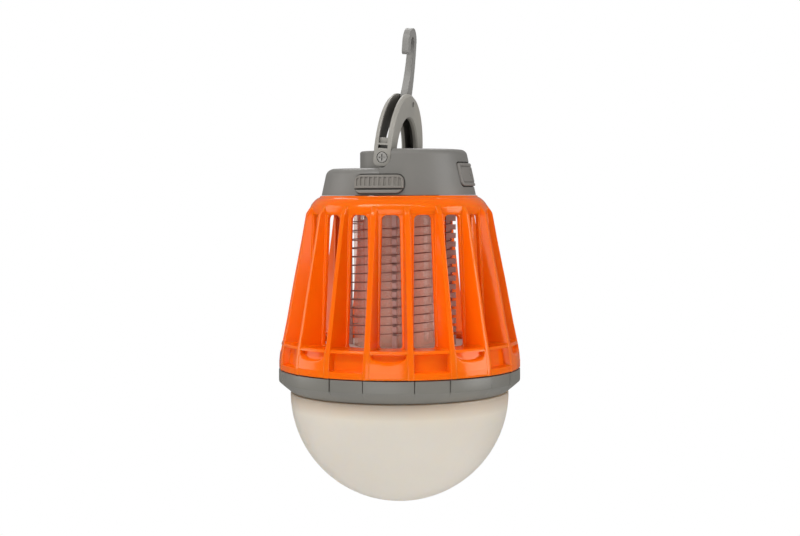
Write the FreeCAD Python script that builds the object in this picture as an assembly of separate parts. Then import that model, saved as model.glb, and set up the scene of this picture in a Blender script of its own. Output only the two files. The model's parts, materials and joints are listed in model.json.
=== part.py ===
import FreeCAD, Part
import os
from math import sin, cos, pi, radians, sqrt, atan2, degrees

os.makedirs("parts", exist_ok=True)
V = FreeCAD.Vector

# Portable camping lantern with an insect-killing grid.
# Millimetres. +Z is up, the origin is the lowest point of the round diffuser,
# on the vertical axis. -Y is the side with the charging port, +X the side with
# the lamp button. Angles "phi" are measured from -Y towards +X.

# ---- driving dimensions --------------------------------------------------
DOME_R = 39.8          # diffuser, outer radius of the half ball
DOME_WALL = 1.9
RING_R = 44.0          # largest radius of the object
RING_Z0, RING_ZC, RING_Z1 = 40.3, 44.3, 49.05
CAGE_Z0, CAGE_WIN0, CAGE_WIN1 = 49.4, 58.7, 104.6
COLLAR_R, COLLAR_Z1 = 32.3, 111.3
RIBS = 18
RIB_T = 2.0
HEAD_Z0, HEAD_R0 = 111.4, 28.05
HEAD_Z1, HEAD_R1 = 127.75, 24.45
HEAD_WALL = 1.9
SHELF_Z = 121.0
ISLAND_R, ISLAND_Z1 = 14.0, 127.35
NOTCH = 3.85           # radius of the hollow that the leg ends turn in
PIVOT_Z = 124.7
BAIL_RO, BAIL_RI = 23.5, 14.7
BAIL_T = 6.2           # thickness of the bail
SLOT_T = 3.1           # slot for the folding hook
BAIL_FLAT = 22.3       # flat on the outside of each leg end
LEAN = 4.5             # the upright bail rests this far past vertical, degrees
HOOK_T = 2.5
HOOK_PIV_Y, HOOK_PIV_Z = 3.4, 144.6
HOOK_TOP = 172.2
HOOK_W, HOOK_YR = 10.8, 9.0
COIL_R, COIL_LEAD, WIRE_D = 19.2, 6.2, 0.7
COIL_Z0, COIL_Z1 = 60.9, 102.3
POSTS = (10, 100, 190, 280)     # comb posts, degrees phi
TUBE_RO, TUBE_RI = 16.4, 15.2
CELL_R, CELL_L = 9.15, 65.0
CELL_Z0 = 51.6
BOARD_Z0, BOARD_T = 113.2, 1.6
DECK_Z1 = 107.3


# ---- helpers ---------------------------------------------------------------
def cyl(r, z0, z1, x=0.0, y=0.0):
    return Part.makeCylinder(r, z1 - z0, V(x, y, z0))


def tube(ro, ri, z0, z1, x=0.0, y=0.0):
    return cyl(ro, z0, z1, x, y).cut(cyl(ri, z0 - 1, z1 + 1, x, y))


def box(x0, x1, y0, y1, z0, z1):
    return Part.makeBox(x1 - x0, y1 - y0, z1 - z0, V(x0, y0, z0))


def rev(pts, a0=0.0, a1=360.0):
    """Turn an (r, z) outline about Z. Three-item entries are arcs (mid, end)."""
    edges = []
    cur = pts[0]
    start = cur
    for p in pts[1:]:
        if len(p) == 4:
            e = Part.Arc(V(cur[0], 0, cur[1]), V(p[0], 0, p[1]), V(p[2], 0, p[3])).toShape()
            cur = (p[2], p[3])
        else:
            e = Part.LineSegment(V(cur[0], 0, cur[1]), V(p[0], 0, p[1])).toShape()
            cur = p
        edges.append(e)
    if abs(cur[0] - start[0]) > 1e-9 or abs(cur[1] - start[1]) > 1e-9:
        edges.append(Part.LineSegment(V(cur[0], 0, cur[1]), V(start[0], 0, start[1])).toShape())
    f = Part.Face(Part.Wire(edges))
    s = f.revolve(V(0, 0, 0), V(0, 0, 1), a1 - a0)
    # the outline starts in the XZ plane, which is phi = 90
    s.rotate(V(0, 0, 0), V(0, 0, 1), a0 - 90.0)
    return s


def turned(shape, phi):
    """Copy of a shape built at phi = 0 (towards -Y), turned to phi."""
    s = shape.copy()
    s.rotate(V(0, 0, 0), V(0, 0, 1), phi)
    return s


def prism_x(pts, x0, x1):
    """Closed (y, z) outline pushed from x0 to x1."""
    w = Part.makePolygon([V(x0, p[0], p[1]) for p in pts + [pts[0]]])
    return Part.Face(w).extrude(V(x1 - x0, 0, 0))


def rrect_y(x0, x1, z0, z1, r, y0, y1):
    """Rounded rectangle in XZ, pushed from y0 to y1."""
    k = r * (1 - sqrt(0.5))
    e = []

    def ln(a, b):
        e.append(Part.LineSegment(V(a[0], y0, a[1]), V(b[0], y0, b[1])).toShape())

    def ar(a, m, b):
        e.append(Part.Arc(V(a[0], y0, a[1]), V(m[0], y0, m[1]), V(b[0], y0, b[1])).toShape())
    ln((x0 + r, z0), (x1 - r, z0))
    ar((x1 - r, z0), (x1 - k, z0 + k), (x1, z0 + r))
    ln((x1, z0 + r), (x1, z1 - r))
    ar((x1, z1 - r), (x1 - k, z1 - k), (x1 - r, z1))
    ln((x1 - r, z1), (x0 + r, z1))
    ar((x0 + r, z1), (x0 + k, z1 - k), (x0, z1 - r))
    ln((x0, z1 - r), (x0, z0 + r))
    ar((x0, z0 + r), (x0 + k, z0 + k), (x0 + r, z0))
    return Part.Face(Part.Wire(e)).extrude(V(0, y1 - y0, 0))


def head_r(z):
    return HEAD_R0 + (HEAD_R1 - HEAD_R0) * (z - HEAD_Z0) / (HEAD_Z1 - HEAD_Z0)


def head_cone(off, z0, z1):
    """Solid frustum whose side is the head's side moved out by off."""
    return Part.makeCone(head_r(z0) + off, head_r(z1) + off, z1 - z0, V(0, 0, z0))


def fuse(shapes):
    s = shapes[0]
    return s.multiFuse(shapes[1:]).removeSplitter() if len(shapes) > 1 else s


def try_fillet(shape, r, edges):
    try:
        s = shape.makeFillet(r, edges)
        if s.isValid() and len(s.Solids) == len(shape.Solids):
            return s
    except Exception:
        pass
    print("fillet left out", r)
    return shape


DONE = {}


def put(name, shape):
    solids = shape.Solids
    bad = [s for s in solids if not s.isValid() or s.Volume <= 0]
    print("%-20s solids %2d vol %9.1f valid %s%s" % (
        name, len(solids), shape.Volume, shape.isValid(), "  BAD" if bad else ""))
    out = Part.makeCompound(solids) if len(solids) > 1 else solids[0]
    out.exportStep("parts/%s.step" % name)
    DONE[name] = out


# ---- shade: diffuser, screw ring and gasket --------------------------------
SK_O, SK_I = 38.2, 36.6
ri = DOME_R - DOME_WALL
dz = DOME_R
a45 = radians(45)
zin = 39.9
dome = rev([(0.0, 0.0),
            (DOME_R * sin(a45), dz - DOME_R * cos(a45), DOME_R, dz),
            (DOME_R - 0.15, 40.1), (SK_O, 40.1), (SK_O, 42.3), (SK_I, 42.3), (SK_I, 39.9),
            (ri * sin(radians(75)), dz - ri * cos(radians(75))),
            (ri * sin(radians(37.5)), dz - ri * cos(radians(37.5)), 0.0, dz - ri)])
put("diffuser_dome", dome)

SH_I = 35.8            # bore of the ring, over the thread neck
ring = rev([(39.2, RING_Z0), (RING_R - 0.1, RING_ZC - 0.1), (RING_R, RING_ZC + 0.15), (RING_R, RING_Z1 - 0.35),
            (RING_R - 0.35, RING_Z1), (38.4, RING_Z1), (38.4, 47.5), (36.7, 47.5), (36.7, RING_Z1), (SH_I, RING_Z1),
            (SH_I, 42.5), (38.3, 42.5), (38.3, RING_Z0)])
put("shade_ring", ring)
gasket = rev([(36.95, 47.55), (38.15, 47.55), (38.15, 48.7), (37.55, 49.05), (36.95, 48.7)])
put("shade_gasket", gasket)

# ---- cage: base band, ribs and collar --------------------------------------
half = RIB_T / 2.0
rib_pts = [(41.0, CAGE_Z0), (44.0, CAGE_Z0), (44.0, 51.6), (43.7, 54.5), (43.2, 57.4), (41.4, 66.1), (38.7, 80.7),
           (35.8, 95.2), (34.2, 103.9), (33.95, 105.1), (31.35, 108.5), (29.6, 108.5), (31.3, 104.6), (33.4, CAGE_WIN0),
           (41.0, CAGE_WIN0 - 1.5)]
w = Part.makePolygon([V(-half, -p[0], p[1]) for p in rib_pts + [rib_pts[0]]])
rib0 = Part.Face(w).extrude(V(RIB_T, 0, 0))
# each fin stands on a wall strip that narrows towards the bottom
ws = []
for r0, hw, z in ((33.0, 1.75, CAGE_WIN0), (30.9, 2.35, CAGE_WIN1)):
    ws.append([V(-hw, -r0, z), V(hw, -r0, z), V(hw, -r0 - 1.4, z), V(-hw, -r0 - 1.4, z)])
wf = [Part.Face(Part.makePolygon(q + [q[0]])) for q in ws]
for i in range(4):
    j = (i + 1) % 4
    q = [ws[0][i], ws[0][j], ws[1][j], ws[1][i]]
    wf.append(Part.Face(Part.makePolygon(q + [q[0]])))
strip0 = Part.makeSolid(Part.makeShell(wf))
if strip0.Volume < 0:
    strip0.reverse()
rib0 = rib0.fuse(strip0).removeSplitter()
ribs = [turned(rib0, i * 360.0 / RIBS) for i in range(RIBS)]
rib_all = Part.makeCompound(ribs)

base = rev([(36.2, CAGE_Z0), (43.9, CAGE_Z0), (43.9, 51.6), (43.6, 54.5), (43.1, 57.4), (42.8, CAGE_WIN0 - 0.3),
            (42.5, CAGE_WIN0), (30.3, CAGE_WIN0), (30.3, 53.2), (36.2, 53.2)])
step = 360.0 / RIBS
cuts = []
for k in range(RIBS):
    c = (k + 0.5) * step
    if k % 2 == 1:
        cuts.append(rev([(41.3, 51.5), (46, 51.5), (46, 57.6), (41.3, 57.6)], c - step / 2, c + step / 2))
    else:
        # shallow smile-shaped pocket under the top lip of every other cell
        rr = 10.2
        cc = Part.makeCylinder(rr, 8.0, V(0, -40.0, 54.7 + rr), V(0, -1, 0))
        seg = rev([(41.4, 53.0), (46, 53.0), (46, 57.6), (41.4, 57.6)], -step / 2 + 1.0, step / 2 - 1.0)
        cuts.append(turned(cc.common(seg), c))
base = base.cut(Part.makeCompound(cuts)).cut(rib_all)
# bosses under the lower deck screws are part of the deck, so the band stays plain
put("cage_base", base)
collar = rev([(24.0, CAGE_WIN1), (COLLAR_R, CAGE_WIN1), (COLLAR_R, 106.9), (31.6, 108.3), (30.6, 109.6),
              (29.7, 110.5), (28.7, 111.1), (28.2, COLLAR_Z1), (24.0, COLLAR_Z1)])
collar = collar.cut(rib_all)
put("cage_collar", collar)
put("cage_ribs", rib_all)

# ---- lower deck with the male thread neck ----------------------------------
NECK_O, NECK_I = 35.4, 33.4
deck = rev([(0, 49.7), (NECK_I, 49.7), (NECK_I, 43.4), (NECK_O, 43.4), (NECK_O, 49.4), (36.1, 49.4), (36.1, 53.1),
            (30.2, 53.1), (30.2, 57.0), (0, 57.0)])
deck = deck.cut(cyl(9.45, 51.0, 58.0)).cut(cyl(6.0, 49.0, 52.0))
deck = deck.cut(tube(TUBE_RO + 0.1, TUBE_RI - 0.1, 56.2, 58.0))
LS_R = 27.0
LS = [(LS_R * sin(radians(p)), -LS_R * cos(radians(p))) for p in (40, 160, 280)]
for x, y in LS:
    deck = deck.cut(cyl(1.02, 49.0, 56.2, x, y))
for a in POSTS:
    deck = deck.cut(turned(box(-0.85, 0.85, -20.75, -17.15, 56.0, 58.0), a))
put("lower_deck", deck)

# ---- lamp board and reflector under the deck -------------------------------
lamp = cyl(31.5, 48.0, 49.6).cut(cyl(5.0, 47, 50))
for x, y in LS:
    lamp = lamp.cut(cyl(1.3, 47, 50, x, y))
put("lamp_board", lamp)
leds = []
for i in range(12):
    a = 2 * pi * (i + 0.5) / 12
    b = box(-1.4, 1.4, -1.75, 1.75, 47.2, 47.95)
    b.rotate(V(0, 0, 0), V(0, 0, 1), degrees(a))
    b.translate(V(21.0 * cos(a), 21.0 * sin(a), 0))
    leds.append(b)
put("lamp_leds", Part.makeCompound(leds))
refl = rev([(24.5, 47.9), (25.5, 47.9), (33.0, 43.6), (33.0, 42.6), (32.4, 42.6), (24.5, 47.2)])
for x, y in LS:
    refl = refl.cut(cyl(2.3, 40, 50, x, y))
put("lamp_reflector", refl)
scr = []
for x, y in LS:
    scr.append(cyl(2.0, 46.7, 47.95, x, y).fuse(cyl(0.98, 47.95, 55.5, x, y)).removeSplitter()
               .cut(box(x - 1.3, x + 1.3, y - 0.25, y + 0.25, 46.0, 47.3))
               .cut(box(x - 0.25, x + 0.25, y - 1.3, y + 1.3, 46.0, 47.3)))
put("lamp_board_screws", Part.makeCompound(scr))

# ---- grid: comb posts, two wires, clear tube -------------------------------
phase = {"a": 0.0, "b": 180.0}
HZ = COIL_Z1 - COIL_Z0
post0 = box(-0.8, 0.8, -20.7, -17.2, 56.1, CAGE_WIN1 - 0.05)
posts = []
for a in POSTS:
    p = turned(post0, a)
    teeth = []
    for name in ("a", "b"):
        # height of this wire where it crosses the post; phi = a is a - 90 from +X
        turn = ((a - 90.0 - phase[name]) % 360.0) / 360.0
        k = 0
        while True:
            z = COIL_Z0 + COIL_LEAD * (turn + k)
            if z > COIL_Z1 + 0.2:
                break
            teeth.append(turned(box(-2.0, 2.0, -22.0, -(COIL_R - WIRE_D / 2 - 0.17), z - 0.6, z + 0.6), a))
            k += 1
    posts.append(p.cut(Part.makeCompound(teeth)))
put("grid_posts", Part.makeCompound(posts))


def helix_wire(name, per_turn=32, sides=6):
    """Right-handed wire made of short straight runs with a six-sided section."""
    turns = HZ / COIL_LEAD
    n = int(round(turns * per_turn))
    sec = WIRE_D / 2 * 1.05
    rings = []
    for i in range(n + 1):
        a = radians(phase[name]) + 2 * pi * i / per_turn
        c = V(COIL_R * cos(a), COIL_R * sin(a), COIL_Z0 + COIL_LEAD * i / per_turn)
        ur = V(cos(a), sin(a), 0)
        row = []
        for k in range(sides):
            t = 2 * pi * k / sides
            row.append(c + ur * (sec * cos(t)) + V(0, 0, sec * sin(t)))
        rings.append(row)
    faces = []

    def tri(p, q, r):
        faces.append(Part.Face(Part.makePolygon([p, q, r, p])))
    for i in range(n):
        for k in range(sides):
            a0, a1 = rings[i][k], rings[i][(k + 1) % sides]
            b0, b1 = rings[i + 1][k], rings[i + 1][(k + 1) % sides]
            tri(a0, b0, b1)
            tri(a0, b1, a1)
    for row, flip in ((rings[0], False), (rings[-1], True)):
        q = list(row) if flip else list(reversed(row))
        faces.append(Part.Face(Part.makePolygon(q + [q[0]])))
    sh = Part.makeShell(faces)
    sol = Part.makeSolid(sh)
    if sol.Volume < 0:
        sol.reverse()
    return sol


WA = helix_wire("a")
WB = helix_wire("b")
put("grid_wire_live", WA)
put("grid_wire_return", WB)
# ferrules on the wires' ends, under the upper deck and on the lower one
fer = []
for name in ("a", "b"):
    top = radians(phase[name] + 360.0 * HZ / COIL_LEAD)
    x, y = COIL_R * cos(top), COIL_R * sin(top)
    fer.append(cyl(0.9, COIL_Z1 + 0.65, CAGE_WIN1 + 1.6, x, y))
put("grid_ferrules", Part.makeCompound(fer))
ctube = tube(TUBE_RO, TUBE_RI, 56.3, 105.4)
put("clear_tube", ctube)

# ---- column: carrier, ultraviolet strips and the cell ----------------------
car = box(-10.3, 10.3, -10.3, 10.3, 57.1, 104.5)
car = car.makeChamfer(1.2, [e for e in car.Edges if abs(e.tangentAt(e.FirstParameter).z) > 0.9])
car = car.cut(cyl(9.35, 50, 110))
put("cell_carrier", car)
st, ul = [], []
for a in (0, 90, 180, 270):
    st.append(turned(box(-4.0, 4.0, -11.45, -10.4, 58.5, 103.0), a))
    for k in range(7):
        z = 61.5 + 6.3 * k
        ul.append(turned(box(-1.4, 1.4, -12.4, -11.5, z - 1.75, z + 1.75), a))
put("uv_strips", Part.makeCompound(st))
put("uv_leds", Part.makeCompound(ul))
cell = cyl(CELL_R, CELL_Z0, CELL_Z0 + CELL_L - 1.0)
cell = try_fillet(cell, 0.6, [e for e in cell.Edges if abs(e.Length - 2 * pi * CELL_R) < 0.5])
cell = cell.fuse(cyl(3.2, CELL_Z0 + CELL_L - 1.2, CELL_Z0 + CELL_L)).removeSplitter()
put("battery_cell", cell)
# coil contact under the cell, on a small plate in the deck's cup
hx = Part.makeHelix(0.62, 1.25, 3.6)
pf = Part.Wire(Part.makeCircle(0.22, V(3.6, 0, 0), V(0, 1, 0.027)))
sp = Part.Wire(hx).makePipeShell([pf], True, True)
sp.translate(V(0, 0, 50.1))
put("cell_spring", sp)
put("cell_plate", cyl(5.6, 49.75, 49.85).fuse(cyl(5.6, 49.65, 49.78)).removeSplitter())
tab = box(-2.5, 2.5, -2.5, 2.5, 116.7, 117.0).fuse(box(2.5, 12.6, -2.5, 2.5, 116.7, 117.0)) \
    .fuse(box(12.3, 12.6, -2.5, 2.5, 114.9, 117.0)).removeSplitter()
put("cell_top_tab", tab)

# ---- upper deck, boards and what stands on them ----------------------------
US_R = 21.4
US = [(US_R * sin(radians(p)), -US_R * cos(radians(p))) for p in (48, 160, 235)]
udeck = cyl(23.9, CAGE_WIN1, DECK_Z1).cut(cyl(9.45, 100, 110))
udeck = udeck.cut(tube(TUBE_RO + 0.1, TUBE_RI - 0.1, 100.0, 105.5))
for x, y in US:
    udeck = udeck.cut(cyl(1.1, 100, 110, x, y)).cut(cyl(2.05, 100, 106.1, x, y))
udeck = udeck.cut(Part.makeCompound([cyl(1.0, 100, CAGE_WIN1 + 1.7, f.CenterOfMass.x, f.CenterOfMass.y) for f in fer]))
put("upper_deck", udeck)
board = cyl(22.3, BOARD_Z0, BOARD_Z0 + BOARD_T).cut(cyl(10.0, 110, 120))
for x, y in US:
    board = board.cut(cyl(3.1, 110, 120, x, y))
put("main_board", board)
BT = BOARD_Z0 + BOARD_T + 0.05
tr = box(6.0, 15.0, 10.5, 17.0, BT, BT + 0.9).fuse(box(6.6, 14.4, 10.9, 16.6, BT + 0.9, 122.6)) \
    .fuse(box(6.0, 15.0, 10.5, 17.0, 122.0, 123.0)).removeSplitter()
put("boost_transformer", tr)
cap = box(6.3, 12.3, -18.8, -12.6, BT, 122.4)
cap = try_fillet(cap, 0.8, cap.Edges)
put("grid_capacitor", cap)
chips = [box(-13.8, -10.2, 6.3, 10.3, BT, BT + 1.4), box(-16.0, -12.5, -12.5, -8.0, BT, BT + 1.4),
         box(-3.0, 3.0, 14.5, 18.5, BT, BT + 1.6), box(-6.5, -4.5, 13.0, 17.5, BT, BT + 1.2)]
put("board_chips", Part.makeCompound(chips))
UZ = 116.35            # middle of the charging socket
soc = box(-3.75, 3.75, -25.75, -20.3, UZ - 1.4, UZ + 1.4)
soc = try_fillet(soc, 0.5, [e for e in soc.Edges if abs(e.tangentAt(e.FirstParameter).y) > 0.9])
soc = soc.cut(box(-3.4, 3.4, -27, -21.0, UZ - 0.9, UZ + 1.0))
soc = soc.fuse(box(-1.9, 1.9, -25.2, -20.6, UZ - 0.2, UZ + 0.3)).removeSplitter()
put("charging_socket", soc)
# one small switch board behind each button, with its switch
sb1 = box(18.0, 19.0, -5.0, 5.0, BT, 123.6)
sb2 = box(-19.5, -18.5, -4.0, 4.0, BT, 119.0)
put("switch_boards", Part.makeCompound([sb1, sb2]))
LB_Z, ZB_Z = 118.75, 115.75      # middles of the two buttons


def tact(z, sgn, x0):
    t = box(x0, x0 + 1.85, -2.25, 2.25, z - 2.0, z + 2.0).fuse(
        Part.makeCylinder(1.1, 1.2, V(x0 + 1.65, 0, z), V(1, 0, 0))).removeSplitter()
    if sgn < 0:
        t.rotate(V(0, 0, 0), V(0, 0, 1), 180)
    return t


put("lamp_switch", tact(LB_Z, 1, 19.05))
put("zapper_switch", tact(116.95, -1, 19.55))

# ---- head shell ------------------------------------------------------------
head = head_cone(0, HEAD_Z0, HEAD_Z1)
top_e = [e for e in head.Edges if abs(e.BoundBox.ZMin - HEAD_Z1) < 1e-6 and abs(e.BoundBox.ZMax - HEAD_Z1) < 1e-6]
head = try_fillet(head, 2.4, top_e)
notch = box(-40, 0.0, -40, 40, SHELF_Z, 140)
nc = Part.makeCylinder(NOTCH, 80, V(0, -40, PIVOT_Z), V(0, 1, 0)).common(box(-1, 10, -40, 40, SHELF_Z, 140))
nb = box(-0.5, NOTCH, -40, 40, PIVOT_Z, 140)
notch = notch.fuse(nc).fuse(nb)
head = head.cut(notch)
# the low shelf has the same rounded rim, blended out under the leg end
rim_cut = rev([(head_r(SHELF_Z) - 2.2, SHELF_Z + 0.02), (head_r(SHELF_Z) - 0.75, SHELF_Z - 0.55, head_r(SHELF_Z - 2.2), SHELF_Z - 2.2),
               (30.0, SHELF_Z - 2.2), (30.0, SHELF_Z + 0.02)])
head = head.cut(rim_cut.common(box(-40, 0.0, -40, 40, 100, 140)))
# the island stands a little lower than the high side
isl = cyl(ISLAND_R, 112, ISLAND_Z1)
isl = try_fillet(isl, 0.9, [e for e in isl.Edges if abs(e.BoundBox.ZMin - ISLAND_Z1) < 1e-4])
head = head.fuse(isl.common(box(-40, NOTCH + 1.0, -40, 40, 100, 140))).removeSplitter()
inner = head_cone(-HEAD_WALL, HEAD_Z0 - 1, 119.2)
inner = inner.fuse(head_cone(-HEAD_WALL, 118, 125.7).common(box(6.0, 40, -40, 40, 110, 126)))
inner = inner.fuse(cyl(10.4, 118, 125.2))
head = head.cut(inner)
# bosses that the deck screws go up into
for x, y in US:
    bz1 = 126.0 if x > 2.0 else 119.6
    b = cyl(2.5, DECK_Z1 + 0.05, bz1, x, y)
    if x > 2.0:
        b = b.common(box(4.6, 40, -40, 40, 100, 130).fuse(box(-5, 40, -40, 40, 100, 120.5)))
    b = b.common(head_cone(-0.6, 100, 127))
    head = head.fuse(b)
head = head.removeSplitter()
for x, y in US:
    head = head.cut(cyl(0.98, 100, 117.5, x, y))
# bores of the pivot screws, in the island's wall
for s in (-1, 1):
    head = head.cut(Part.makeCylinder(1.12, 6.0, V(0, s * 10.0, PIVOT_Z), V(0, s, 0)))
# charging port: shallow seat for the rubber cover, and the way in
seat = head_cone(5, 111.0, 119.0).cut(head_cone(-0.45, 111.0, 119.0))
seat = seat.common(rrect_y(-9.15, 9.15, 111.85, 118.9, 2.9, -40, -10))
head = head.cut(seat)
head = head.cut(rrect_y(-4.1, 4.1, UZ - 1.75, UZ + 1.75, 0.8, -40, -20))
# button openings
LB_HY, LB_HZ = 9.85, 4.45
ZB_HY, ZB_HZ = 8.55, 2.95


def btn_prism(hy, hz, z, r, x0, x1):
    p = rrect_y(-hy, hy, z - hz, z + hz, r, -x1, -x0)
    p.rotate(V(0, 0, 0), V(0, 0, 1), 90)
    return p


head = head.cut(btn_prism(LB_HY, LB_HZ, LB_Z, 1.6, 12, 40))
zb = btn_prism(ZB_HY, ZB_HZ, ZB_Z, 1.4, 12, 40)
zb.rotate(V(0, 0, 0), V(0, 0, 1), 180)
head = head.cut(zb)
hs = sorted(head.Solids, key=lambda s: -s.Volume)
print("head solids", [round(s.Volume, 2) for s in hs])
head = hs[0]
put("head_shell", head)


def button(hy, hz, z, r, sgn, zlo, zhi, proud):
    gap = 0.35
    face = btn_prism(hy - gap, hz - gap, z, r - gap / 2, 15, 40).common(
        head_cone(proud, 105, 127).cut(head_cone(-2.3, 105, 127)))
    fl = btn_prism(hy + 0.7, 1.0, z, 0.5, 15, 40).common(
        box(0, 40, -20, 20, zlo, zhi)).common(
        head_cone(-2.25, 105, 127).cut(head_cone(-3.3, 105, 127)))
    back = btn_prism(hy - gap, hz - gap, z, r - gap / 2, 15, 40).common(
        head_cone(-2.2, 105, 127).cut(head_cone(-3.3, 105, 127)))
    b = fuse([face, back, fl])
    b = max(b.Solids, key=lambda s: s.Volume)
    if sgn < 0:
        b.rotate(V(0, 0, 0), V(0, 0, 1), 180)
    return b


put("lamp_button", button(LB_HY, LB_HZ, LB_Z, 1.6, 1, 112, 125, 0.55))
put("zapper_button", button(ZB_HY, ZB_HZ, ZB_Z, 1.4, -1, 112, 118.8, 0.0))

# ---- rubber port cover: fixed strip and the flap that lifts ----------------
COVER_OUT = 1.35
strip = head_cone(COVER_OUT, 111.9, 113.4).cut(head_cone(-0.42, 111.9, 113.4))
strip = strip.common(rrect_y(-8.8, 8.8, 112.2, 118.55, 2.6, -40, -15)).common(box(-20, 20, -40, -15, 111.0, 113.4))
put("port_cover_root", strip)
flap = head_cone(COVER_OUT, 113.9, 118.55).cut(head_cone(-0.05, 113.9, 118.55))
flap = flap.common(rrect_y(-8.8, 8.8, 112.2, 118.55, 2.8, -40, -15))
flap = flap.common(box(-20, 20, -40, -10, 113.9, 125))
plug = rrect_y(-3.3, 3.3, UZ - 1.1, UZ + 1.1, 0.6, -27.6, -26.2)
flap = flap.fuse(plug).removeSplitter()
put("port_cover", flap)

# ---- screws ----------------------------------------------------------------
scr = []
for x, y in US:
    s = cyl(1.9, 104.7, 106.0, x, y).fuse(cyl(0.95, 106.0, 116.5, x, y)).removeSplitter()
    s = s.cut(box(x - 1.2, x + 1.2, y - 0.25, y + 0.25, 104.0, 105.3)).cut(
        box(x - 0.25, x + 0.25, y - 1.2, y + 1.2, 104.0, 105.3))
    scr.append(s)
put("head_screws", Part.makeCompound(scr))
piv = []
for s in (-1, 1):
    h = Part.makeCylinder(1.75, 1.1, V(0, s * (BAIL_FLAT - 1.0), PIVOT_Z), V(0, s, 0))
    sh = Part.makeCylinder(1.1, BAIL_FLAT - 1.0 - 10.6, V(0, s * 10.6, PIVOT_Z), V(0, s, 0))
    p = h.fuse(sh).removeSplitter()
    y0, y1 = sorted((s * (BAIL_FLAT - 0.6), s * (BAIL_FLAT + 1.0)))
    p = p.cut(box(-1.15, 1.15, y0, y1, PIVOT_Z - 0.22, PIVOT_Z + 0.22)).cut(
        box(-0.22, 0.22, y0, y1, PIVOT_Z - 1.15, PIVOT_Z + 1.15))
    piv.append(p)
put("pivot_screws", Part.makeCompound(piv))

# ---- bail ------------------------------------------------------------------
ht = BAIL_T / 2.0


def disc_x(r, x0, x1):
    return Part.makeCylinder(r, x1 - x0, V(x0, 0, PIVOT_Z), V(1, 0, 0))


ch = 0.9
arch = disc_x(BAIL_RO, -ht + ch, ht - ch)
arch = arch.fuse(Part.makeCone(BAIL_RO - ch, BAIL_RO, ch, V(-ht, 0, PIVOT_Z), V(1, 0, 0)))
arch = arch.fuse(Part.makeCone(BAIL_RO, BAIL_RO - ch, ch, V(ht - ch, 0, PIVOT_Z), V(1, 0, 0)))
arch = arch.cut(disc_x(BAIL_RI, -10, 10))
arch = arch.cut(Part.makeCone(BAIL_RI, BAIL_RI + 1.2, 1.2, V(ht - 0.6, 0, PIVOT_Z), V(1, 0, 0)))
arch = arch.cut(Part.makeCone(BAIL_RI + 1.2, BAIL_RI, 1.2, V(-ht - 0.6, 0, PIVOT_Z), V(1, 0, 0)))
# keep the upper half, with leg ends rounded about the pivot axis
leg = rrect_y(-ht, ht, PIVOT_Z - ht, PIVOT_Z + 10, 1.7, -30, 30)
keep = box(-10, 10, -40, 40, PIVOT_Z, 160).fuse(leg)
arch = arch.common(keep)
arch = arch.common(box(-10, 10, -BAIL_FLAT, BAIL_FLAT, 110, 160))


def ang_sector(a0, a1, r, x0, x1):
    """Sector in the YZ plane about the pivot; angle 0 is +Y, 90 is +Z."""
    n = 10
    pts = [(0.0, PIVOT_Z)]
    for i in range(n + 1):
        a = radians(a0 + (a1 - a0) * i / n)
        pts.append((r * cos(a), PIVOT_Z + r * sin(a)))
    return prism_x(pts, x0, x1)


sl = SLOT_T / 2.0
slot_open = ang_sector(66, 162, 40, -sl, sl)
slot_in = ang_sector(14, 67, 40, -sl, sl).common(disc_x(BAIL_RO - 1.8, -sl, sl))
bail = arch.cut(slot_open).cut(slot_in)
bail = bail.cut(box(-1.7, 1.7, -24.0, -19.8, 127.9, 129.0)).cut(box(-sl, sl, -26.0, -21.5, 129.7, 140.0))
for s in (-1, 1):
    bail = bail.cut(Part.makeCylinder(1.2, 14.0, V(0, s * 12.0, PIVOT_Z), V(0, s, 0)))
    bail = bail.cut(Part.makeCylinder(1.95, 4.0, V(0, s * (BAIL_FLAT - 1.15), PIVOT_Z), V(0, s, 0)))
bail = bail.cut(Part.makeCylinder(1.02, 20, V(-10, HOOK_PIV_Y, HOOK_PIV_Z), V(1, 0, 0)))
bail = bail.removeSplitter()
print("bail solids", [round(s.Volume, 1) for s in bail.Solids])


def leaned(s):
    s = s.copy()
    s.rotate(V(0, 0, PIVOT_Z), V(0, 1, 0), LEAN)
    return s


put("bail", leaned(max(bail.Solids, key=lambda s: s.Volume)))
pin = Part.makeCylinder(1.0, BAIL_T - 0.5, V(-ht + 0.25, HOOK_PIV_Y, HOOK_PIV_Z), V(1, 0, 0))
put("hook_pin", leaned(pin))

# ---- hook ------------------------------------------------------------------
YR, YL = HOOK_YR, HOOK_YR - HOOK_W
cx, cz = (YR + YL) / 2.0, HOOK_TOP - HOOK_W / 2.0
SW, TW = 3.4, 3.0
RO, RI = HOOK_W / 2.0, HOOK_W / 2.0 - SW
TIPZ = 162.6


def pt(y, z):
    return V(0, y, z)


e = []


def L(a, b):
    e.append(Part.LineSegment(pt(*a), pt(*b)).toShape())


def A(a, m, b):
    e.append(Part.Arc(pt(*a), pt(*m), pt(*b)).toShape())


PR = 3.3               # eye round the pivot pin
# outer (far side) edge from the eye up to the loop
p_eye_r = (HOOK_PIV_Y + PR * cos(radians(-8)), HOOK_PIV_Z + PR * sin(radians(-8)))
p_out_m = (8.72, 154.3)
p_loop_r = (YR, cz)
A(p_eye_r, p_out_m, p_loop_r)
A(p_loop_r, (cx, cz + RO), (YL, cz))
L((YL, cz), (YL, TIPZ + 1.3))
A((YL, TIPZ + 1.3), (YL + TW / 2, TIPZ - 0.2), (YL + TW, TIPZ + 1.3))
L((YL + TW, TIPZ + 1.3), (YL + TW, cz))
A((YL + TW, cz), (cx + (TW - SW) / 2.0, cz + (YR - SW - YL - TW) / 2.0), (YR - SW, cz))
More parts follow.
